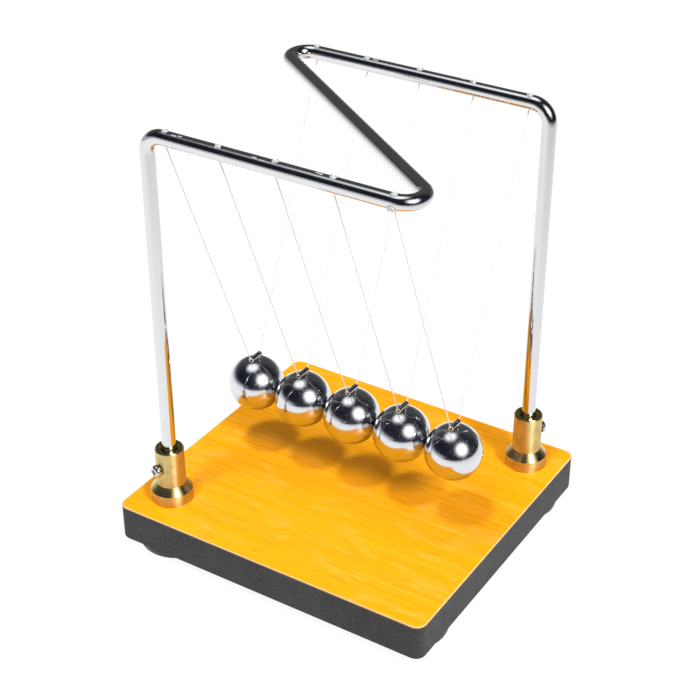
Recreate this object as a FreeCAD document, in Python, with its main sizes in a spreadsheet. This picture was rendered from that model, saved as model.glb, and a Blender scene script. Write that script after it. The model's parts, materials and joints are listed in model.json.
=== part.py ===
import FreeCAD, Part
import math
import os
import re
from types import SimpleNamespace

import Sketcher
from FreeCAD import Placement, Rotation, Vector

# Desk newton's cradle: five steel balls hang in a row, on V threads, from one bent rod on a small board.
# Millimetres, +Z up. The origin is on the surface that the feet stand on, under the middle of the board.
# +X runs along the row of balls, +Y from the front beam to the back beam.

SIZES = {
    # board
    "board_length": 135.0,
    "board_width": 125.0,
    "board_thick": 15.0,
    "board_corner": 4.0,
    "laminate_thick": 0.8,
    "laminate_chamfer": 0.3,
    "band_thick": 0.8,
    "band_round": 0.5,
    "backing_thick": 0.6,
    # feet
    "foot_diameter": 30.0,
    "foot_rise": 4.0,
    "foot_inset": 16.0,
    "foot_setback": 3.6,
    "foot_round": 1.2,
    "adhesive_diameter": 26.0,
    "adhesive_thick": 0.4,
    # sockets
    "socket_height": 23.3,
    "socket_diameter": 11.2,
    "flange_diameter": 16.2,
    "flange_rise": 7.6,
    "cone_rise": 2.8,
    "socket_chamfer": 0.4,
    "bore_diameter": 5.8,
    "bore_depth": 15.5,
    "mouth_chamfer": 0.9,
    "tap_depth": 6.0,
    # clamp screws, radially into the sockets
    "clamp_height": 15.0,
    "clamp_angle_left": -105.0,
    "clamp_angle_right": 62.0,
    "clamp_thread": 2.5,
    "clamp_head": 5.0,
    "clamp_head_rise": 2.1,
    "clamp_reach": 2.85,
    "clamp_lift": 0.3,
    # socket bolts, up through the board
    "bolt_thread": 4.0,
    "bolt_head": 8.0,
    "bolt_head_rise": 2.6,
    "bolt_reach": 5.0,
    "bolt_hole": 4.5,
    "washer_diameter": 9.0,
    "washer_hole": 4.3,
    "washer_thick": 0.8,
    "counterbore": 9.5,
    "counterbore_depth": 4.0,
    # bent rod
    "rod_diameter": 5.5,
    "beam_rise": 153.0,
    "post_x": 53.0,
    "beam_y": 46.7,
    "corner_x": 64.9,
    "post_bend": 6.75,
    "corner_bend": 6.5,
    # balls, tubes and threads
    "ball_diameter": 22.2,
    "ball_pitch": 22.4,
    "ball_rise": 30.1,
    "ferrule_diameter": 2.2,
    "ferrule_bore": 1.2,
    "ferrule_length": 6.0,
    "ferrule_lift": 11.8,
    "thread_diameter": 0.4,
    "thread_hole": 1.0,
    "thread_bend": 0.6,
    "thread_slack": 0.05,
    "pivot_gap": 0.2,
    "knot_diameter": 1.2,
    "knot_lift": 0.25,
    "glue_diameter": 2.8,
    "glue_sink": 0.5,
    "spill_diameter": 2.4,
    "spill_front": 2.4,
    "spill_drop": 1.6,
}

BALLS = 5
SIDES = {"left": -1, "right": 1}
BEAMS = {"front": -1, "back": 1}

size = SimpleNamespace(**SIZES)
board_top = size.foot_rise + size.board_thick
beam_height = board_top + size.beam_rise
beam_underside = beam_height - size.rod_diameter / 2

doc = FreeCAD.newDocument("newtons_cradle")
sheet = doc.addObject("Spreadsheet::Sheet", "sizes")
for row, (alias, number) in enumerate(SIZES.items(), start=1):
    sheet.set(f"A{row}", alias.replace("_", " "))
    sheet.set(f"B{row}", str(number))
    sheet.setAlias(f"B{row}", alias)
doc.recompute()

BOARD_TOP = "(foot_rise + board_thick)"
BEAM_HEIGHT = f"({BOARD_TOP} + beam_rise)"
BEAM_CREST = f"({BEAM_HEIGHT} + rod_diameter / 2)"
BALL_HEIGHT = f"({BOARD_TOP} + ball_rise)"


def bind(item, formulas):
    """Bind properties to formulas, in which each alias stands for its cell of the sheet."""
    for target, formula in formulas.items():
        cells = re.sub(r"[a-z_]+", lambda word: f"sizes.{word[0]}" if word[0] in SIZES else word[0], formula)
        item.setExpression(target, cells)
    return item


def place(item, x="0", y="0", z="0"):
    """Bind where a piece's own origin lies."""
    return bind(item, {"Placement.Base.x": x, "Placement.Base.y": y, "Placement.Base.z": z})


def row_x(number):
    """Formula for the place of a ball along the row, counted from 1."""
    return f"{number - (BALLS + 1) // 2} * ball_pitch"


# ---- primitives and booleans ----

def cylinder(name, diameter, height, x="0", y="0", z="0"):
    item = doc.addObject("Part::Cylinder", name)
    bind(item, {"Radius": f"({diameter}) / 2", "Height": height})
    return place(item, x, y, z)


def rod_along_y(name, diameter, length, x="0", z="0"):
    """A cylinder along Y, centred on the row."""
    item = cylinder(name, diameter, length)
    item.Placement = Placement(Vector(), Rotation(Vector(1, 0, 0), -90))
    return place(item, x, f"-({length}) / 2", z)


def sphere(name, diameter, x, y, z):
    item = doc.addObject("Part::Sphere", name)
    bind(item, {"Radius": f"({diameter}) / 2"})
    return place(item, x, y, z)


def cut(name, base, tool):
    item = doc.addObject("Part::Cut", name)
    item.Base = base
    item.Tool = tool
    return item


def group(name, members, kind="Part::Compound"):
    """Several solids in one object: side by side, or fused with kind Part::MultiFuse."""
    item = doc.addObject(kind, name)
    if kind == "Part::Compound":
        item.Links = members
    else:
        item.Shapes = members
    return item


# ---- bodies made of sketches and features ----

def new_body(name):
    return doc.addObject("PartDesign::Body", name)


def origin_plane(body, role):
    return next(item for item in body.Origin.OriginFeatures if item.Role == role)


def new_sketch(body, name, role="XY_Plane", lift="0"):
    """A sketch on one of the body's own planes, lifted along the plane's normal."""
    sketch = body.newObject("Sketcher::SketchObject", name)
    sketch.AttachmentSupport = [(origin_plane(body, role), "")]
    sketch.MapMode = "FlatFace"
    return bind(sketch, {"AttachmentOffset.Base.z": lift})


def dimension(sketch, kind, formula, *where):
    """A sketch dimension whose value is a formula."""
    number = sketch.addConstraint(Sketcher.Constraint(kind, *where, 1.0))
    bind(sketch, {f"Constraints[{number}]": formula})


def draw_rectangle(sketch, length, width):
    """A rectangle centred on the sketch's origin."""
    corners = [Vector(-2, -1, 0), Vector(2, -1, 0), Vector(2, 1, 0), Vector(-2, 1, 0)]
    first = sketch.GeometryCount
    for start, end in zip(corners, corners[1:] + corners[:1]):
        sketch.addGeometry(Part.LineSegment(start, end), False)
    for side in range(4):
        sketch.addConstraint(Sketcher.Constraint("Coincident", first + side, 2, first + (side + 1) % 4, 1))
        sketch.addConstraint(Sketcher.Constraint(("Horizontal", "Vertical")[side % 2], first + side))
    sketch.addConstraint(Sketcher.Constraint("Symmetric", first, 1, first + 1, 2, -1, 1))
    dimension(sketch, "DistanceX", length, first, 1, first, 2)
    dimension(sketch, "DistanceY", width, first + 1, 1, first + 1, 2)


def draw_circle(sketch, diameter):
    """A circle round the sketch's origin."""
    circle = sketch.addGeometry(Part.Circle(Vector(), Vector(0, 0, 1), 1.0), False)
    sketch.addConstraint(Sketcher.Constraint("Coincident", circle, 3, -1, 1))
    dimension(sketch, "Diameter", diameter, circle)


def extrude(body, kind, name, sketch, length, reverse=False):
    """A Pad or a Pocket of a sketch."""
    feature = body.newObject(f"PartDesign::{kind}", name)
    feature.Profile = sketch
    feature.Reversed = reverse
    bind(feature, {"Length": length})
    sketch.Visibility = False
    doc.recompute()
    return feature


def dress(body, kind, name, base, edges, amount):
    """A Fillet or a Chamfer on the edges of the last feature that pass the test."""
    feature = body.newObject(f"PartDesign::{kind}", name)
    picked = [f"Edge{n}" for n, edge in enumerate(base.Shape.Edges, start=1) if edges(edge)]
    feature.Base = (base, picked)
    bind(feature, {"Radius" if kind == "Fillet" else "Size": amount})
    doc.recompute()
    return feature


def upright(edge):
    low, high = edge.BoundBox.ZMin, edge.BoundBox.ZMax
    return high - low > 0.1 and edge.BoundBox.XLength < 1e-6 and edge.BoundBox.YLength < 1e-6


def flat_at(height, wider_than=0.0):
    """A test for edges that lie at one height and are wider than a given size."""
    def test(edge):
        box = edge.BoundBox
        level = abs(box.ZMin - height) < 1e-6 and abs(box.ZMax - height) < 1e-6
        return level and max(box.XLength, box.YLength) > wider_than
    return test


def board_layer(name, bottom, thickness, inset="0"):
    """One rounded rectangular layer of the board, as a body and its last feature."""
    body = new_body(name)
    sketch = new_sketch(body, f"{name}_outline", lift=bottom)
    draw_rectangle(sketch, f"board_length - 2 * {inset}", f"board_width - 2 * {inset}")
    pad = extrude(body, "Pad", f"{name}_pad", sketch, thickness)
    return body, dress(body, "Fillet", f"{name}_corners", pad, upright, f"board_corner - {inset}")


def drill_for_bolts(body, name, diameter, bottom, depth):
    """Two vertical holes under the sockets."""
    sketch = new_sketch(body, f"{name}_centres", lift=bottom)
    for sign in SIDES.values():
        hole = sketch.addGeometry(Part.Circle(Vector(50 * sign, 50 * sign, 0), Vector(0, 0, 1), 1.0), False)
        dimension(sketch, "DistanceX", f"{sign} * post_x", -1, 1, hole, 3)
        dimension(sketch, "DistanceY", f"{sign} * beam_y", -1, 1, hole, 3)
        dimension(sketch, "Diameter", diameter, hole)
    return extrude(body, "Pocket", name, sketch, depth, reverse=True)


# ---- board ----

def make_board():
    core_bottom = "foot_rise + backing_thick"
    core_top = f"{BOARD_TOP} - laminate_thick"

    core, _ = board_layer("base_core", core_bottom, "board_thick - backing_thick - laminate_thick",
                          "band_thick")
    drill_for_bolts(core, "bolt_clearance", "bolt_hole", core_bottom, "board_thick")
    drill_for_bolts(core, "counterbores", "counterbore", core_bottom, "counterbore_depth - backing_thick")

    backing, _ = board_layer("bottom_sheet", "foot_rise", "backing_thick", "band_thick")
    drill_for_bolts(backing, "backing_holes", "counterbore", "foot_rise", "backing_thick")

    laminate, layer = board_layer("top_laminate", core_top, "laminate_thick")
    dress(laminate, "Chamfer", "laminate_edge", layer, flat_at(board_top, 3.0), "laminate_chamfer")
    drill_for_bolts(laminate, "laminate_holes", "bolt_hole", core_top, "laminate_thick")

    blank, layer = board_layer("band_blank", "foot_rise", "board_thick - laminate_thick")
    dress(blank, "Fillet", "band_bottom_edge", layer, flat_at(size.foot_rise, 3.0), "band_round")
    space, _ = board_layer("band_space", "foot_rise", "board_thick - laminate_thick", "band_thick")
    band = cut("edge_band", blank, space)
    return [core, backing, laminate, band]


def foot_place(x_sign, y_sign):
    """The middle of a foot. The front right one is stuck on a little further back than the others."""
    setback = "foot_setback" if (x_sign, y_sign) == (1, -1) else "0"
    return (f"{x_sign} * (board_length / 2 - foot_inset)",
            f"{y_sign} * (board_width / 2 - foot_inset) + {setback}")


def make_feet():
    """Round feet with rolled edges, each on a disc of adhesive."""
    feet, discs = [], []
    for beam, y_sign in BEAMS.items():
        for side, x_sign in SIDES.items():
            x, y = foot_place(x_sign, y_sign)
            name = f"foot_{beam}_{side}"
            body = place(new_body(name), x, y)
            sketch = new_sketch(body, f"{name}_outline")
            draw_circle(sketch, "foot_diameter")
            pad = extrude(body, "Pad", f"{name}_pad", sketch, "foot_rise - adhesive_thick")
            dress(body, "Fillet", f"{name}_round", pad, lambda edge: edge.BoundBox.ZLength < 1e-6,
                  "foot_round")
            feet.append(body)
            discs.append(cylinder(f"adhesive_{beam}_{side}", "adhesive_diameter", "adhesive_thick",
                                  x, y, "foot_rise - adhesive_thick"))
    return feet + [group("foot_adhesive_discs", discs)]


# ---- sockets and screws ----

def make_socket(side, sign):
    """A turned socket: flange, cone, barrel, bore for the rod, tapped hole below and at the side."""
    name = f"socket_{side}"
    body = place(new_body(name), f"{sign} * post_x", f"{sign} * beam_y", BOARD_TOP)
    bind(body, {"Placement.Rotation.Angle": f"clamp_angle_{side}"})

    barrel = new_sketch(body, f"{name}_barrel_circle")
    draw_circle(barrel, "socket_diameter")
    solid = extrude(body, "Pad", f"{name}_barrel", barrel, "socket_height")
    dress(body, "Chamfer", f"{name}_top_chamfer", solid, flat_at(size.socket_height), "socket_chamfer")

    flange = new_sketch(body, f"{name}_flange_circle")
    draw_circle(flange, "flange_diameter")
    extrude(body, "Pad", f"{name}_flange", flange, "flange_rise - cone_rise")
    cone = body.newObject("PartDesign::AdditiveCone", f"{name}_cone")
    cone.AttachmentSupport = [(origin_plane(body, "XY_Plane"), "")]
    cone.MapMode = "FlatFace"
    bind(cone, {"AttachmentOffset.Base.z": "flange_rise - cone_rise", "Radius1": "flange_diameter / 2",
                "Radius2": "socket_diameter / 2", "Height": "cone_rise"})
    doc.recompute()

    bore = new_sketch(body, f"{name}_bore_circle", lift="socket_height")
    draw_circle(bore, "bore_diameter")
    solid = extrude(body, "Pocket", f"{name}_bore", bore, "bore_depth")
    dress(body, "Chamfer", f"{name}_mouth", solid,
          lambda edge: flat_at(size.socket_height)(edge) and edge.BoundBox.XLength < size.bore_diameter + 0.1,
          "mouth_chamfer")

    tap = new_sketch(body, f"{name}_tap_circle")
    draw_circle(tap, "bolt_thread")
    extrude(body, "Pocket", f"{name}_tap", tap, "tap_depth", reverse=True)

    side_hole = new_sketch(body, f"{name}_clamp_circle", "YZ_Plane")
    circle = side_hole.addGeometry(Part.Circle(Vector(0, 10, 0), Vector(0, 0, 1), 1.0), False)
    side_hole.addConstraint(Sketcher.Constraint("PointOnObject", circle, 3, -2))
    dimension(side_hole, "DistanceY", "clamp_height", -1, 1, circle, 3)
    dimension(side_hole, "Diameter", "clamp_thread", circle)
    extrude(body, "Pocket", f"{name}_clamp_hole", side_hole, "socket_diameter", reverse=True)
    return body


def make_screw(name, thread, head, head_rise, length):
    """A pan-head cross-recess screw along its own +Z: the head ends at 0 and the shank starts there."""
    body = new_body(name)
    crown = new_sketch(body, f"{name}_head_circle")
    draw_circle(crown, head)
    solid = extrude(body, "Pad", f"{name}_head", crown, head_rise, reverse=True)
    dress(body, "Fillet", f"{name}_crown", solid,
          lambda edge: edge.BoundBox.ZMax < -0.5 and edge.BoundBox.ZLength < 1e-6, f"0.6 * ({head_rise})")
    shank = new_sketch(body, f"{name}_shank_circle")
    draw_circle(shank, thread)
    extrude(body, "Pad", f"{name}_shank", shank, length)
    for turn, (wide, narrow) in enumerate((("0.56", "0.13"), ("0.13", "0.56"))):
        slot = new_sketch(body, f"{name}_recess_{turn}_outline", lift=f"-({head_rise})")
        draw_rectangle(slot, f"{wide} * ({head})", f"{narrow} * ({head})")
        extrude(body, "Pocket", f"{name}_recess_{turn}", slot, f"0.55 * ({head_rise})", reverse=True)
    return body


def make_clamp_screw(side, sign):
    """The screw points at the rod from outside the socket, its head a little off the barrel."""
    angle = f"clamp_angle_{side}"
    seat = "(socket_diameter / 2 + clamp_lift)"
    screw = make_screw(f"clamp_screw_{side}", "clamp_thread", "clamp_head", "clamp_head_rise",
                       f"{seat} - clamp_reach")
    turn = Rotation(Vector(0, 0, 1), getattr(size, angle))
    screw.Placement = Placement(Vector(), turn * Rotation(Vector(0, 1, 0), -90))
    return place(screw, f"{sign} * post_x + {seat} * cos({angle})",
                 f"{sign} * beam_y + {seat} * sin({angle})", f"{BOARD_TOP} + clamp_height")


def make_bolts():
    """Bolts with washers in the board's counterbores, up into the sockets."""
    washer_bottom = "(foot_rise + counterbore_depth - washer_thick)"
    bolts, washers = [], []
    for side, sign in SIDES.items():
        bolt = make_screw(f"bolt_{side}", "bolt_thread - 0.04", "bolt_head", "bolt_head_rise",
                          f"{BOARD_TOP} - {washer_bottom} + bolt_reach")
        bolts.append(place(bolt, f"{sign} * post_x", f"{sign} * beam_y", washer_bottom))
        disc = cylinder(f"washer_disc_{side}", "washer_diameter", "washer_thick", f"{sign} * post_x",
                        f"{sign} * beam_y", washer_bottom)
        hole = cylinder(f"washer_hole_{side}", "washer_hole", "washer_thick", f"{sign} * post_x",
                        f"{sign} * beam_y", washer_bottom)
        washers.append(cut(f"washer_{side}", disc, hole))
    return [group("socket_bolts", bolts), group("socket_washers", washers)]


# ---- bent rod and threads ----

def route(name, points, radii):
    """A path of straight runs joined by tangent arcs: the wire as an object, and its length."""
    edges = []
    start = points[0]
    for before, corner, after, radius in zip(points, points[1:], points[2:], radii):
        incoming = (corner - before).normalize()
        outgoing = (after - corner).normalize()
        half_turn = incoming.getAngle(outgoing) / 2
        setback = radius * math.tan(half_turn)
        inward = (outgoing - incoming).normalize()
        first, last = corner - incoming * setback, corner + outgoing * setback
        middle = corner + inward * (radius / math.cos(half_turn) - radius)
        edges.append(Part.LineSegment(start, first).toShape())
        edges.append(Part.Arc(first, middle, last).toShape())
        start = last
    edges.append(Part.LineSegment(start, points[-1]).toShape())
    path = doc.addObject("Part::Feature", name)
    path.Shape = Part.Wire(edges)
    return path, path.Shape.Length


def sweep(name, path, points, diameter):
    """A round bar of one diameter along a path."""
    circle = doc.addObject("Part::Circle", f"{name}_section")
    bind(circle, {"Radius": f"({diameter}) / 2"})
    circle.Placement = Placement(points[0], Rotation(Vector(0, 0, 1), points[1] - points[0]))
    bar = doc.addObject("Part::Sweep", name)
    bar.Sections = [circle]
    bar.Spine = (path, [f"Edge{n}" for n in range(1, len(path.Shape.Edges) + 1)])
    bar.Solid = True
    return bar


def make_frame_rod():
    """Post, front beam, diagonal, back beam and post in one bent rod, with a hole for each thread end."""
    seat = board_top + size.socket_height - size.bore_depth
    half_turned = [
        Vector(-size.post_x, -size.beam_y, seat),
        Vector(-size.post_x, -size.beam_y, beam_height),
        Vector(size.corner_x, -size.beam_y, beam_height),
    ]
    points = half_turned + [Vector(-p.x, -p.y, p.z) for p in reversed(half_turned)]
    radii = [size.post_bend, size.corner_bend, size.corner_bend, size.post_bend]
    path, length = route("rod_path", points, radii)
    bar = sweep("bent_bar", path, points, "rod_diameter")
    holes = [
        cylinder(f"thread_hole_{beam}_{n}", "thread_hole", "2 * rod_diameter", row_x(n), f"{sign} * beam_y",
                 f"{BEAM_HEIGHT} - rod_diameter")
        for beam, sign in BEAMS.items() for n in range(1, BALLS + 1)
    ]
    rod = cut("frame_rod", bar, group("thread_holes", holes))
    return rod, bar, length


def make_thread(number):
    """A V thread: from under one beam down through the tube on the ball and up to the other beam."""
    x = (number - (BALLS + 1) // 2) * size.ball_pitch
    top = beam_underside
    bore_slack = (size.ferrule_bore - size.thread_diameter) / 2 - size.thread_slack
    low = board_top + size.ball_rise + size.ferrule_lift + bore_slack
    turn_y = size.ferrule_length / 2 + 0.25
    points = [
        Vector(x, -size.beam_y, top),
        Vector(x, -turn_y, low),
        Vector(x, turn_y, low),
        Vector(x, size.beam_y, top),
    ]
    path, length = route(f"thread_path_{number}", points, [size.thread_bend] * 2)
    return sweep(f"thread_{number}", path, points, "thread_diameter"), length


def make_ball(number):
    """A steel ball with a short tube let into its top, across the row."""
    x = row_x(number)
    tube_height = f"{BALL_HEIGHT} + ferrule_lift"
    ball = cut(f"ball_{number}", sphere(f"sphere_{number}", "ball_diameter", x, "0", BALL_HEIGHT),
               rod_along_y(f"groove_{number}", "ferrule_diameter", "2 * ferrule_length", x, tube_height))
    ferrule = cut(f"ferrule_{number}",
                  rod_along_y(f"tube_outside_{number}", "ferrule_diameter", "ferrule_length", x, tube_height),
                  rod_along_y(f"tube_bore_{number}", "ferrule_bore", "2 * ferrule_length", x, tube_height))
    return [ball, ferrule]


def make_knots(beam, sign, bar):
    """Thread ends through one beam with a knot on top of each, and the glue dabs over the knots.

    Glue has also run down the front of the front beam beside its last hole.
    """
    knots, dabs = [], []
    y = f"{sign} * beam_y"
    stub_bottom = f"({BEAM_HEIGHT} - rod_diameter / 2 + pivot_gap)"
    knot_height = f"({BEAM_CREST} + knot_lift)"
    for number in range(1, BALLS + 1):
        mark = f"{beam}_{number}"
        stub = cylinder(f"stub_{mark}", "thread_diameter", f"{knot_height} - {stub_bottom}", row_x(number), y,
                        stub_bottom)
        ball = sphere(f"knot_ball_{mark}", "knot_diameter", row_x(number), y, knot_height)
        knot = group(f"knot_{mark}", [stub, ball], "Part::MultiFuse")
        dome = sphere(f"dome_{mark}", "glue_diameter", row_x(number), y, f"{BEAM_CREST} - glue_sink")
        plug = cylinder(f"dome_hole_{mark}", "thread_hole", "glue_diameter", row_x(number), y,
                        f"{BEAM_CREST} - glue_diameter")
        around = group(f"under_dome_{mark}", [bar, ball, plug], "Part::MultiFuse")
        knots.append(knot)
        dabs.append(cut(f"glue_{mark}", dome, around))
    if beam == "front":
        drop = sphere("spill_ball", "spill_diameter", row_x(BALLS), f"{y} - spill_front",
                      f"{BEAM_HEIGHT} - spill_drop")
        dabs.append(cut("glue_spill", drop, bar))
    return [group(f"knots_{beam}", knots), group(f"glue_{beam}", dabs)]


def check_length(name, solid, length, diameter):
    """A bar's volume is its section times its length."""
    expected = math.pi * diameter ** 2 / 4 * length
    print(f"{name}: length {length:.1f} mm, volume {solid.Shape.Volume:.1f} of {expected:.1f} mm3")
    assert abs(solid.Shape.Volume / expected - 1) < 0.01, name


# ---- the whole cradle ----

pieces = make_board() + make_feet()
for side, sign in SIDES.items():
    pieces += [make_socket(side, sign), make_clamp_screw(side, sign)]
pieces += make_bolts()
frame_rod, bent_bar, rod_length = make_frame_rod()
pieces.append(frame_rod)
threads = {}
for number in range(1, BALLS + 1):
    thread, threads[number] = make_thread(number)
    pieces += make_ball(number) + [thread]
for beam, sign in BEAMS.items():
    pieces += make_knots(beam, sign, bent_bar)

doc.recompute()
failed = [item.Name for item in doc.Objects if {"Invalid", "Error"} & set(item.State)]
assert not failed, f"failed: {failed}"

check_length("frame rod", bent_bar, rod_length, size.rod_diameter)
print(f"frame rod bends: {size.post_bend} and {size.corner_bend} mm, thread bends: {size.thread_bend} mm")
for number, length in threads.items():
    check_length(f"thread {number}", doc.getObject(f"thread_{number}"), length, size.thread_diameter)

os.makedirs("parts", exist_ok=True)
for piece in pieces:
    assert not piece.Shape.isNull() and piece.Shape.isValid() and piece.Shape.Solids, piece.Label
    piece.Shape.exportStep(f"parts/{piece.Label}.step")
print(f"{len(pieces)} parts, {sum(len(piece.Shape.Solids) for piece in pieces)} solids")
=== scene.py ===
import json
import math

import bmesh
import bpy
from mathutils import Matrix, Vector, noise


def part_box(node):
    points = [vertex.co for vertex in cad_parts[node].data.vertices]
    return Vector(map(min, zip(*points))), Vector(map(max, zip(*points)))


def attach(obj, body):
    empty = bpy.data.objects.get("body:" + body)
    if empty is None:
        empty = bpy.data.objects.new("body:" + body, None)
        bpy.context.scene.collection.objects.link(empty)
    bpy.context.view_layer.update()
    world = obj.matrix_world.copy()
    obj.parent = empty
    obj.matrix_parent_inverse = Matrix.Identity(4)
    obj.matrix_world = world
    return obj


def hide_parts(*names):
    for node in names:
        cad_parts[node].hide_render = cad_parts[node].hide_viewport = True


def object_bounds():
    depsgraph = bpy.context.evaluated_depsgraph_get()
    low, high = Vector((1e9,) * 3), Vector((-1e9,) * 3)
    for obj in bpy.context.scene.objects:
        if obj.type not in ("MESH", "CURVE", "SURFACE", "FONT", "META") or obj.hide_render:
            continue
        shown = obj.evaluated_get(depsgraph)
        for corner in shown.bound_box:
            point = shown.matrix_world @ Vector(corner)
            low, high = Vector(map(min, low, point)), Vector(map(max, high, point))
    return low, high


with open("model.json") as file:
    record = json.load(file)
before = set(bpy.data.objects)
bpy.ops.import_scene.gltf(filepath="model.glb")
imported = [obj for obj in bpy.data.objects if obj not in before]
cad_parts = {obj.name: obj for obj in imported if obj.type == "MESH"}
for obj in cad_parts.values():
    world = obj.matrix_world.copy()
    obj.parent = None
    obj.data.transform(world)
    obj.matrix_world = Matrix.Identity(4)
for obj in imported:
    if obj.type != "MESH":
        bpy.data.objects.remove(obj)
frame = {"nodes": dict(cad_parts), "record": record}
cad_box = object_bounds()
nodes = frame["nodes"]
MM = 0.001
ROD_RADIUS = 5.5 * MM / 2

# lights: directions from the object, distance and aim
OVERHEAD, SIDE = (-0.064, -0.247, 0.967), (0.755, -0.312, 0.576)
LIGHT_DISTANCE = 2.5
LIGHT_AIM = Vector((0, 0, 0.06))

# studio: the direction, spread in radians and brightness of each light's glow in polished metal, the level
# directions of the pale background and the pale wall, and the light that matt surfaces get from all round
GLOWS = (((-0.21, -0.04, 0.977), 0.54, 1.9), (SIDE, 0.66, 2.0))
BEHIND, LEFT = (-0.53, 0.85), (-0.90, -0.44)
FILL = (0.36, 0.36, 0.36)

# floor: its side, its brightness to the camera, the strength of the painted glow it gives in reflections, the
# middle of that patch of painted light, and the level direction in which that patch ends soonest
FLOOR_SIDE = 8.0
FLOOR_SEEN, FLOOR_PAINTED_GLOW = 0.93, 0.67
PAINTED_PATCH_X, PAINTED_PATCH_Y = -0.4, -0.7
NEARER = (0.8, -0.6)

# camera: degrees round and above the object, metres to the aim, aim past the middle of the box, lens in mm
AZIMUTH, ELEVATION, DISTANCE = 32.1, 31.7, 0.5842
AIM_SHIFT = Vector((1.6, -3.8, -6.6)) * MM
LENS = 80.6


# ---- node materials ----

class Nodes:
    """A node tree. Each method adds nodes and returns the last output; a value is an output or a number."""

    def __init__(self, tree, coordinates):
        self.tree = tree
        self.position = tree.nodes.new("ShaderNodeTexCoord").outputs[coordinates]

    def put(self, socket, value):
        if isinstance(value, bpy.types.NodeSocket):
            self.tree.links.new(value, socket)
        else:
            socket.default_value = value

    def mapped(self, scale, degrees=(0, 0, 0)):
        """The position turned and then stretched."""
        turned = self.tree.nodes.new("ShaderNodeMapping")
        self.put(turned.inputs["Vector"], self.position)
        turned.inputs["Rotation"].default_value = [math.radians(d) for d in degrees]
        node = self.tree.nodes.new("ShaderNodeMapping")
        self.put(node.inputs["Vector"], turned.outputs["Vector"])
        node.inputs["Scale"].default_value = scale
        return node.outputs["Vector"]

    def noise(self, vector, scale=1.0, detail=2.0, roughness=0.5, distortion=0.0):
        node = self.tree.nodes.new("ShaderNodeTexNoise")
        self.put(node.inputs["Vector"], vector)
        settings = {"Scale": scale, "Detail": detail, "Roughness": roughness, "Distortion": distortion}
        for key, value in settings.items():
            node.inputs[key].default_value = value
        return node.outputs["Fac"]

    def cells(self, vector, scale):
        node = self.tree.nodes.new("ShaderNodeTexVoronoi")
        self.put(node.inputs["Vector"], vector)
        node.inputs["Scale"].default_value = scale
        return node.outputs["Distance"]

    def part(self, vector, axis):
        node = self.tree.nodes.new("ShaderNodeSeparateXYZ")
        self.put(node.inputs[0], vector)
        return node.outputs[axis]

    def vector(self, x, y, z):
        node = self.tree.nodes.new("ShaderNodeCombineXYZ")
        for socket, value in zip(node.inputs, (x, y, z)):
            self.put(socket, value)
        return node.outputs[0]

    def math(self, operation, *values):
        node = self.tree.nodes.new("ShaderNodeMath")
        node.operation = operation
        for socket, value in zip(node.inputs, values):
            self.put(socket, value)
        return node.outputs[0]

    def along(self, x, y, direction):
        """How far x, y lies along a level direction."""
        x_part, y_part = (self.math("MULTIPLY", value, share) for value, share in zip((x, y), direction))
        return self.math("ADD", x_part, y_part)

    def length(self, x, y):
        return self.math("SQRT", self.math("ADD", self.math("MULTIPLY", x, x), self.math("MULTIPLY", y, y)))

    def fit(self, value, low, high, to_low=0.0, to_high=1.0):
        """value from low..high to to_low..to_high, smoothly and held at the ends."""
        node = self.tree.nodes.new("ShaderNodeMapRange")
        node.interpolation_type = "SMOOTHSTEP"
        for socket, number in zip(node.inputs, (value, low, high, to_low, to_high)):
            self.put(socket, number)
        return node.outputs[0]

    def mix(self, factor, first, second):
        node = self.tree.nodes.new("ShaderNodeMix")
        node.data_type = "RGBA"
        self.put(node.inputs["Factor"], factor)
        for socket, colour in ((node.inputs[6], first), (node.inputs[7], second)):
            self.put(socket, colour if isinstance(colour, bpy.types.NodeSocket) else (*colour, 1.0))
        return node.outputs[2]

    def ray(self, kind):
        return self.tree.nodes.new("ShaderNodeLightPath").outputs[f"Is {kind} Ray"]


class Shader(Nodes):
    """A material with one Principled surface."""

    def __init__(self, name):
        self.material = bpy.data.materials.new(name)
        self.material.use_nodes = True
        super().__init__(self.material.node_tree, "Object")
        self.surface = self.tree.nodes["Principled BSDF"]
        self.normal = self.tree.nodes.new("ShaderNodeNewGeometry").outputs["Normal"]

    def bump(self, height, distance, strength=1.0):
        node = self.tree.nodes.new("ShaderNodeBump")
        self.put(node.inputs["Height"], height)
        node.inputs["Distance"].default_value = distance
        node.inputs["Strength"].default_value = strength
        previous = self.surface.inputs["Normal"]
        if previous.is_linked:
            self.put(node.inputs["Normal"], previous.links[0].from_socket)
        self.put(previous, node.outputs[0])

    def set(self, **values):
        """Principled inputs by name, with _ for a space."""
        for key, value in values.items():
            socket = self.surface.inputs[key.replace("_", " ")]
            colour = socket.type == "RGBA" and isinstance(value, tuple)
            self.put(socket, (*value, 1.0) if colour else value)


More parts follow.
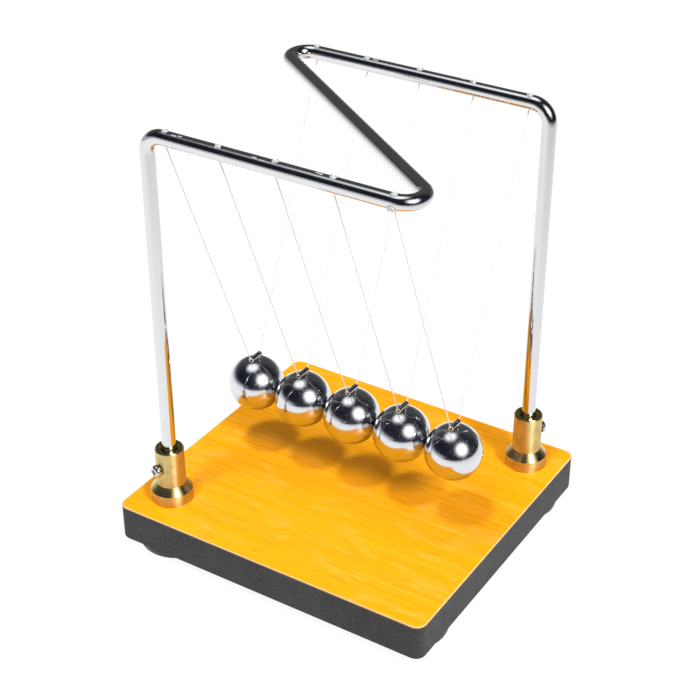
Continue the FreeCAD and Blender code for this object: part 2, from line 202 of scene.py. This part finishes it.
def wood_laminate():
    """Yellow-orange printed wood grain: fine streaks along X, pale cut edge."""
    s = Shader("wood_laminate")
    broad = s.noise(s.mapped((7, 60, 1)), detail=3.0, distortion=0.4)
    figure = s.noise(s.mapped((45, 150, 1)), detail=4.0, roughness=0.6, distortion=0.8)
    streaks = s.noise(s.mapped((20, 1500, 1)), detail=3.0, roughness=0.6, distortion=0.2)
    lines = s.noise(s.mapped((11, 2500, 1)), detail=1.0)
    fibres = s.noise(s.mapped((110, 3000, 1)), detail=2.0)
    pores = s.noise(s.mapped((90, 1700, 1)), detail=2.0)
    colour = s.mix(s.fit(broad, 0.32, 0.68), (0.97, 0.362, 0.001), (1.0, 0.392, 0.002))
    colour = s.mix(s.fit(streaks, 0.50, 0.66, 0.0, 0.42), colour, (1.0, 0.440, 0.014))
    colour = s.mix(s.fit(streaks, 0.32, 0.46, 0.3, 0.0), colour, (0.84, 0.300, 0.002))
    colour = s.mix(s.fit(lines, 0.39, 0.49, 0.55, 0.0), colour, (0.66, 0.275, 0.001))
    colour = s.mix(s.fit(lines, 0.55, 0.66, 0.0, 0.40), colour, (1.0, 0.460, 0.040))
    flame = s.math("MULTIPLY", s.fit(figure, 0.50, 0.64), s.fit(fibres, 0.42, 0.62, 0.12, 0.45))
    colour = s.mix(flame, colour, (1.0, 0.47, 0.075))
    colour = s.mix(s.fit(pores, 0.60, 0.70, 0.0, 0.55), colour, (0.70, 0.200, 0.002))
    level = s.part(s.normal, 2)
    colour = s.mix(s.fit(level, 0.80, 0.95, 1.0, 0.0), colour, (0.80, 0.50, 0.22))
    colour = s.mix(s.fit(level, 0.20, 0.50, 1.0, 0.0), colour, (0.22, 0.15, 0.09))
    s.set(Base_Color=colour, Roughness=s.fit(streaks, 0.3, 0.7, 0.40, 0.30), Specular_IOR_Level=0.12)
    s.set(Coat_Weight=0.04, Coat_Roughness=0.16)
    s.bump(streaks, 0.02 * MM, 0.5)
    return s.material


def edge_band():
    """Charcoal edging with a fine speckle."""
    s = Shader("edge_band")
    speck = s.noise(s.position, scale=2600.0, detail=3.0)
    cloud = s.noise(s.position, scale=90.0, detail=3.0)
    colour = s.mix(s.fit(cloud, 0.3, 0.7), (0.0242, 0.0224, 0.0242), (0.0348, 0.0326, 0.0348))
    colour = s.mix(s.fit(speck, 0.55, 0.70, 0.0, 0.7), colour, (0.105, 0.098, 0.103))
    colour = s.mix(s.fit(speck, 0.32, 0.45, 0.6, 0.0), colour, (0.014, 0.012, 0.014))
    s.set(Base_Color=colour, Roughness=0.62, Specular_IOR_Level=0.3)
    s.bump(speck, 0.03 * MM, 0.6)
    return s.material


def backing_sheet():
    """Dark sheet with a faint grain along X."""
    s = Shader("backing_sheet")
    fibre = s.noise(s.mapped((90, 900, 1)), detail=3.0)
    s.set(Base_Color=s.mix(fibre, (0.028, 0.027, 0.027), (0.045, 0.043, 0.043)), Roughness=0.6)
    s.bump(fibre, 0.03 * MM, 0.5)
    return s.material


def core_board():
    """Particle board, its chips lying flat."""
    s = Shader("core_board")
    chips = s.cells(s.mapped((300, 300, 900)), 1.0)
    s.set(Base_Color=s.mix(chips, (0.42, 0.27, 0.13), (0.62, 0.45, 0.26)), Roughness=0.85)
    s.bump(chips, 0.1 * MM)
    return s.material


def foot_rubber():
    """Black rubber with a little dust."""
    s = Shader("foot_rubber")
    grain = s.noise(s.position, scale=1500.0, detail=3.0)
    dust = s.noise(s.position, scale=160.0, detail=4.0)
    s.set(Base_Color=s.mix(s.fit(dust, 0.45, 0.75), (0.010, 0.010, 0.010), (0.024, 0.023, 0.022)))
    s.set(Roughness=s.fit(dust, 0.3, 0.7, 0.22, 0.42))
    s.bump(grain, 0.02 * MM, 0.5)
    return s.material


def adhesive():
    """Pale foam."""
    s = Shader("adhesive")
    foam = s.cells(s.position, 1400.0)
    s.set(Base_Color=s.mix(foam, (0.62, 0.58, 0.50), (0.78, 0.75, 0.68)), Roughness=0.8)
    s.bump(foam, 0.05 * MM)
    return s.material


def brass(name, node):
    """Turned brass: lathe lines run round the socket's own axis and smear its reflections along it."""
    s = Shader(name)
    low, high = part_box(node)
    middle = (low + high) / 2
    x = s.math("SUBTRACT", s.part(s.position, 0), middle.x)
    y = s.math("SUBTRACT", s.part(s.position, 1), middle.y)
    profile = s.vector(s.length(x, y), 0.0, s.part(s.position, 2))
    lines = s.noise(profile, scale=4200.0, detail=2.0)
    bands = s.noise(profile, scale=900.0, detail=2.0)
    tarnish = s.noise(s.position, scale=260.0, detail=4.0)
    spots = s.noise(s.position, scale=1500.0, detail=2.0)
    colour = s.mix(s.fit(tarnish, 0.42, 0.72, 0.0, 0.8), (0.66, 0.52, 0.22), (0.54, 0.40, 0.15))
    colour = s.mix(s.fit(spots, 0.64, 0.74, 0.0, 0.6), colour, (0.34, 0.22, 0.07))
    smoother_faces = s.fit(s.part(s.normal, 2), 0.3, 0.95, 1.0, 0.4)
    s.set(Base_Color=colour, Metallic=1.0)
    s.set(Roughness=s.math("MULTIPLY", s.fit(bands, 0.3, 0.7, 0.34, 0.46), smoother_faces))
    s.set(Anisotropic=0.85, Anisotropic_Rotation=0.25)
    tangent = s.tree.nodes.new("ShaderNodeTangent")
    tangent.direction_type = "RADIAL"
    tangent.axis = "Z"
    s.set(Tangent=tangent.outputs[0])
    s.bump(lines, 0.003 * MM, 0.6)
    s.bump(bands, 0.012 * MM, 0.4)
    return s.material


def scratched_chrome(name, tint, polish, haze):
    """Mirror finish under a haze of handling scratches: some of the surface is sharp, some of it hazy."""
    s = Shader(name)
    scratches = None
    for angles, scale in (((20, 35, 0), (60, 1800, 900)), ((0, 70, 50), (900, 50, 1700)),
                          ((75, 10, 110), (1500, 800, 45)), ((40, 130, 20), (70, 1400, 1500))):
        lines = s.noise(s.mapped(scale, angles), detail=1.0)
        mark = s.fit(lines, 0.68, 0.76)
        scratches = mark if scratches is None else s.math("MAXIMUM", scratches, mark)
    rub = s.noise(s.position, scale=9000.0, detail=1.0)
    smudge = s.noise(s.position, scale=140.0, detail=3.0, roughness=0.6)
    amount = s.math("MULTIPLY", s.fit(rub, 0.46, 0.60), s.fit(smudge, 0.3, 0.7, 0.6, 1.0))
    dust = s.fit(s.noise(s.position, scale=1100.0, detail=1.0), 0.75, 0.79)
    s.set(Base_Color=s.mix(s.math("MULTIPLY", dust, 0.35), tint, (0.9, 0.9, 0.9)), Metallic=1.0)
    s.set(Roughness=s.math("ADD", s.fit(amount, 0.0, 1.0, polish, haze), s.math("MULTIPLY", scratches, 0.15)))
    s.bump(scratches, 0.004 * MM, 0.3)
    return s.material


def steel(name, tint, roughness):
    """Machined steel with faint stains."""
    s = Shader(name)
    grain = s.noise(s.position, scale=2400.0, detail=3.0)
    stain = s.noise(s.position, scale=500.0, detail=3.0)
    s.set(Base_Color=s.mix(s.fit(stain, 0.4, 0.7), tint, tuple(0.7 * c for c in tint)), Metallic=1.0)
    s.set(Roughness=s.fit(grain, 0.3, 0.7, roughness * 0.7, roughness * 1.3))
    s.bump(grain, 0.01 * MM, 0.5)
    return s.material


def nylon():
    """Clear milky monofilament."""
    s = Shader("nylon_thread")
    tone = s.noise(s.position, scale=700.0)
    s.set(Base_Color=s.mix(tone, (0.77, 0.785, 0.80), (0.85, 0.865, 0.88)), Roughness=0.35, IOR=1.45)
    s.set(Transmission_Weight=0.2)
    return s.material


def glue():
    """Set clear glue, whitish with tiny bubbles."""
    s = Shader("glue")
    cloud = s.noise(s.position, scale=900.0, detail=3.0)
    bubbles = s.cells(s.position, 3500.0)
    colour = s.mix(cloud, (0.42, 0.44, 0.45), (0.62, 0.64, 0.65))
    s.set(Base_Color=colour, Roughness=s.fit(cloud, 0.3, 0.7, 0.18, 0.34), IOR=1.48, Transmission_Weight=0.35)
    s.bump(bubbles, 0.05 * MM, 0.4)
    return s.material


def paint(node, material):
    """Puts one material in every slot of a node."""
    mesh = nodes[node].data
    for slot in range(len(mesh.materials)):
        mesh.materials[slot] = material
    if not mesh.materials:
        mesh.materials.append(material)


def paint_nodes():
    """Gives each node the finish of its slot in the record. The glue is replaced further down."""
    finishes = {
        "wood_laminate": wood_laminate(),
        "edge_band": edge_band(),
        "backing_sheet": backing_sheet(),
        "core_board": core_board(),
        "foot_rubber": foot_rubber(),
        "adhesive": adhesive(),
        "bright_screw": steel("bright_screw", (0.60, 0.58, 0.55), 0.18),
        "zinc_bolt": steel("zinc_bolt", (0.62, 0.63, 0.64), 0.3),
        "steel_tube": steel("steel_tube", (0.62, 0.59, 0.57), 0.13),
        "chromed_rod": scratched_chrome("chromed_rod", (0.57, 0.573, 0.583), 0.05, 0.17),
        "polished_ball": scratched_chrome("polished_ball", (0.58, 0.59, 0.62), 0.05, 0.25),
        "nylon_thread": nylon(),
    }
    for entry in frame["record"]["subparts"]:
        node = entry["node"]
        slot = entry["material_slot"]
        if slot == "turned_brass":
            paint(node, brass(f"brass_{node}", node))
        elif slot in finishes:
            paint(node, finishes[slot])


# ---- glue on the thread ends ----

# (beam, ball number, mm along the beam from its hole, degrees round the rod from its front face, size in mm)
DABS = [(beam, number, along, 85 + tip, (1.20, 1.15, 0.68))
        for beam in ("front", "back")
        for number, along, tip in ((1, 0.1, 4), (2, -0.1, -5), (3, 0.15, 6), (4, -0.1, 3), (5, 0.1, -4))]
SPILLS = [("front", 5, 0.0, -33, (1.7, 1.15, 0.95)), ("front", 1, 4.6, 66, (1.1, 0.30, 0.10)),
          ("front", 1, 6.9, 74, (0.9, 0.30, 0.12)), ("front", 3, -4.2, 60, (1.2, 0.26, 0.09)),
          ("front", 3, -7.4, 66, (1.0, 0.28, 0.10)), ("front", 4, -5.2, 84, (1.6, 0.35, 0.12)),
          ("back", 2, 3.8, 80, (1.3, 0.35, 0.12)), ("back", 4, -4.4, 100, (1.7, 0.40, 0.14))]


def add_dab(mesh, centre, along, degrees, size, seed):
    """A drop that hugs the rod along X: its underside follows the rod, its outside is uneven."""
    made = bmesh.ops.create_icosphere(mesh, subdivisions=4, radius=1.0)
    for vertex in made["verts"]:
        shift = Vector((seed * 7.3, seed * 3.1, seed * 5.7))
        swell = 1 + 0.30 * noise.noise(vertex.co * 1.2 + shift) + 0.10 * noise.noise(vertex.co * 3.4 + shift)
        x, round_rod, out = (c * swell * s * MM for c, s in zip(vertex.co, size))
        distance = ROD_RADIUS + (out if out > 0 else 0.04 * out)
        angle = math.radians(degrees) - round_rod / ROD_RADIUS
        vertex.co = centre + Vector((along * MM + x, -math.cos(angle) * distance, math.sin(angle) * distance))


def make_glue():
    """Uneven drops of glue over the knots, and smears beside some of them, on the one piece of each beam."""
    row = {joint["name"]: joint["pos_m"][0] for joint in frame["record"]["behaviour"]["joints"]}
    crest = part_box("frame_rod")[1].z
    material = glue()
    for beam in ("front", "back"):
        low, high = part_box(f"knots_{beam}")
        mesh = bmesh.new()
        for seed, (where, number, along, degrees, size) in enumerate(DABS + SPILLS, start=1):
            if where == beam:
                centre = Vector((row[f"swing_{number}"], (low.y + high.y) / 2, crest - ROD_RADIUS))
                add_dab(mesh, centre, along, degrees, size, seed)
        for face in mesh.faces:
            face.smooth = True
        data = bpy.data.meshes.new(f"glue_drops_{beam}")
        mesh.to_mesh(data)
        mesh.free()
        data.materials.append(material)
        piece = bpy.data.objects.new(f"glue_drops_{beam}", data)
        bpy.context.scene.collection.objects.link(piece)
        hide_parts(f"glue_{beam}")
        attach(piece, "root")


# ---- stage: floor, lights, world, camera ----

def make_floor():
    """A pale floor, evenly bright to the camera. In reflections it shows a patch of painted light, which ends
    nearer on the side of the camera, and painted shade round it.
    """
    bpy.ops.mesh.primitive_plane_add(size=FLOOR_SIDE, location=(0, 0, 0))
    floor = bpy.context.object
    floor.name = "floor"
    s = Shader("floor")
    grain = s.noise(s.position, scale=300.0, detail=3.0)
    x, y = s.part(s.position, 0), s.part(s.position, 1)
    out = s.length(s.math("SUBTRACT", x, PAINTED_PATCH_X), s.math("SUBTRACT", y, PAINTED_PATCH_Y))
    nearer = s.along(x, y, NEARER)
    # painted light: a patch that glows in reflections only, fading out with distance and sooner towards the
    # camera
    painted_light_patch = s.math("MULTIPLY", s.fit(out, 0.6, 2.9, 1.0, 0.0), s.fit(nearer, -0.05, 1.1, 1.0, 0.0))
    mirrored = s.ray("Glossy")
    seen = s.math("MAXIMUM", s.ray("Camera"), s.ray("Transmission"))
    pale = s.mix(grain, (0.50, 0.51, 0.51), (0.54, 0.55, 0.55))
    # painted shade: outside that patch the floor's colour in reflections is made nearly black
    painted_shade = s.math("MULTIPLY", mirrored, s.math("SUBTRACT", 1.0, painted_light_patch))
    painted_shade_colour = s.mix(painted_shade, pale, (0.015, 0.015, 0.02))
    s.set(Base_Color=s.mix(seen, painted_shade_colour, (0.08, 0.08, 0.08)), Roughness=0.8, Specular_IOR_Level=0.1)
    # painted glow: emission inside the patch that shows only in reflections; to the camera the floor is
    # evenly bright
    glow = s.math("MULTIPLY", s.math("MULTIPLY", mirrored, painted_light_patch), FLOOR_PAINTED_GLOW)
    glow = s.math("MAXIMUM", s.math("MULTIPLY", seen, FLOOR_SEEN), glow)
    s.set(Emission_Color=(1.0, 1.0, 1.0), Emission_Strength=glow)
    floor.data.materials.append(s.material)


def area_light(name, direction, diameter, radiance):
    """A round softbox that faces the object, by the brightness of its face."""
    away = Vector(direction).normalized()
    data = bpy.data.lights.new(name, "AREA")
    data.shape = "DISK"
    data.size = diameter
    data.energy = radiance * math.pi * math.pi * diameter * diameter / 4
    light = bpy.data.objects.new(name, data)
    light.location = LIGHT_AIM + away * LIGHT_DISTANCE
    light.rotation_euler = away.to_track_quat("Z", "Y").to_euler()
    bpy.context.scene.collection.objects.link(light)
    return light


def make_lights():
    area_light("overhead", OVERHEAD, 0.36, 108.0).visible_glossy = False
    area_light("side", SIDE, 0.60, 65.0)


def make_world():
    """A dark studio: a soft glow round each light, a pale wall low on the left, fill for matt surfaces."""
    world = bpy.data.worlds.new("studio")
    bpy.context.scene.world = world
    world.use_nodes = True
    s = Nodes(world.node_tree, "Generated")
    x, y, height = (s.part(s.position, axis) for axis in range(3))
    grey = s.mix(s.fit(height, -0.1, 0.35), (0.24, 0.24, 0.24), (0.090, 0.095, 0.090))
    dark = s.mix(s.fit(s.along(x, y, BEHIND), 0.15, 0.75), (0.016, 0.018, 0.030), grey)
    wall = s.math("MULTIPLY", s.fit(s.along(x, y, LEFT), 0.3, 0.8), s.fit(height, -0.05, 0.24, 1.0, 0.0))
    studio = s.mix(wall, dark, (0.90, 0.91, 0.92))
    for direction, spread, strength in GLOWS:
        towards = s.tree.nodes.new("ShaderNodeVectorMath")
        towards.operation = "DOT_PRODUCT"
        s.put(towards.inputs[0], s.position)
        towards.inputs[1].default_value = Vector(direction).normalized()
        soft = s.math("POWER", s.fit(towards.outputs["Value"], math.cos(spread), 0.999), 2.2)
        studio = s.mix(soft, studio, (0.97 * strength, 0.985 * strength, strength))
    filled = s.mix(s.ray("Diffuse"), studio, FILL)
    seen = s.math("MAXIMUM", s.ray("Camera"), s.ray("Transmission"))
    s.put(s.tree.nodes["Background"].inputs["Color"], s.mix(seen, filled, (1.0, 1.0, 1.0)))


def make_camera():
    """A camera in front of the object, to the right and above."""
    low, high = cad_box
    aim = (low + high) / 2 + AIM_SHIFT
    azimuth, elevation = math.radians(AZIMUTH), math.radians(ELEVATION)
    back = Vector((math.sin(azimuth) * math.cos(elevation), -math.cos(azimuth) * math.cos(elevation),
                   math.sin(elevation)))
    data = bpy.data.cameras.new("camera")
    data.lens = LENS
    data.clip_start, data.clip_end = 0.02, 20.0
    camera = bpy.data.objects.new("camera", data)
    camera.location = aim + back * DISTANCE
    camera.rotation_euler = back.to_track_quat("Z", "Y").to_euler()
    bpy.context.scene.collection.objects.link(camera)
    bpy.context.scene.camera = camera


bpy.context.scene.view_settings.view_transform = "Standard"
paint_nodes()
make_glue()
make_floor()
make_lights()
make_world()
make_camera()
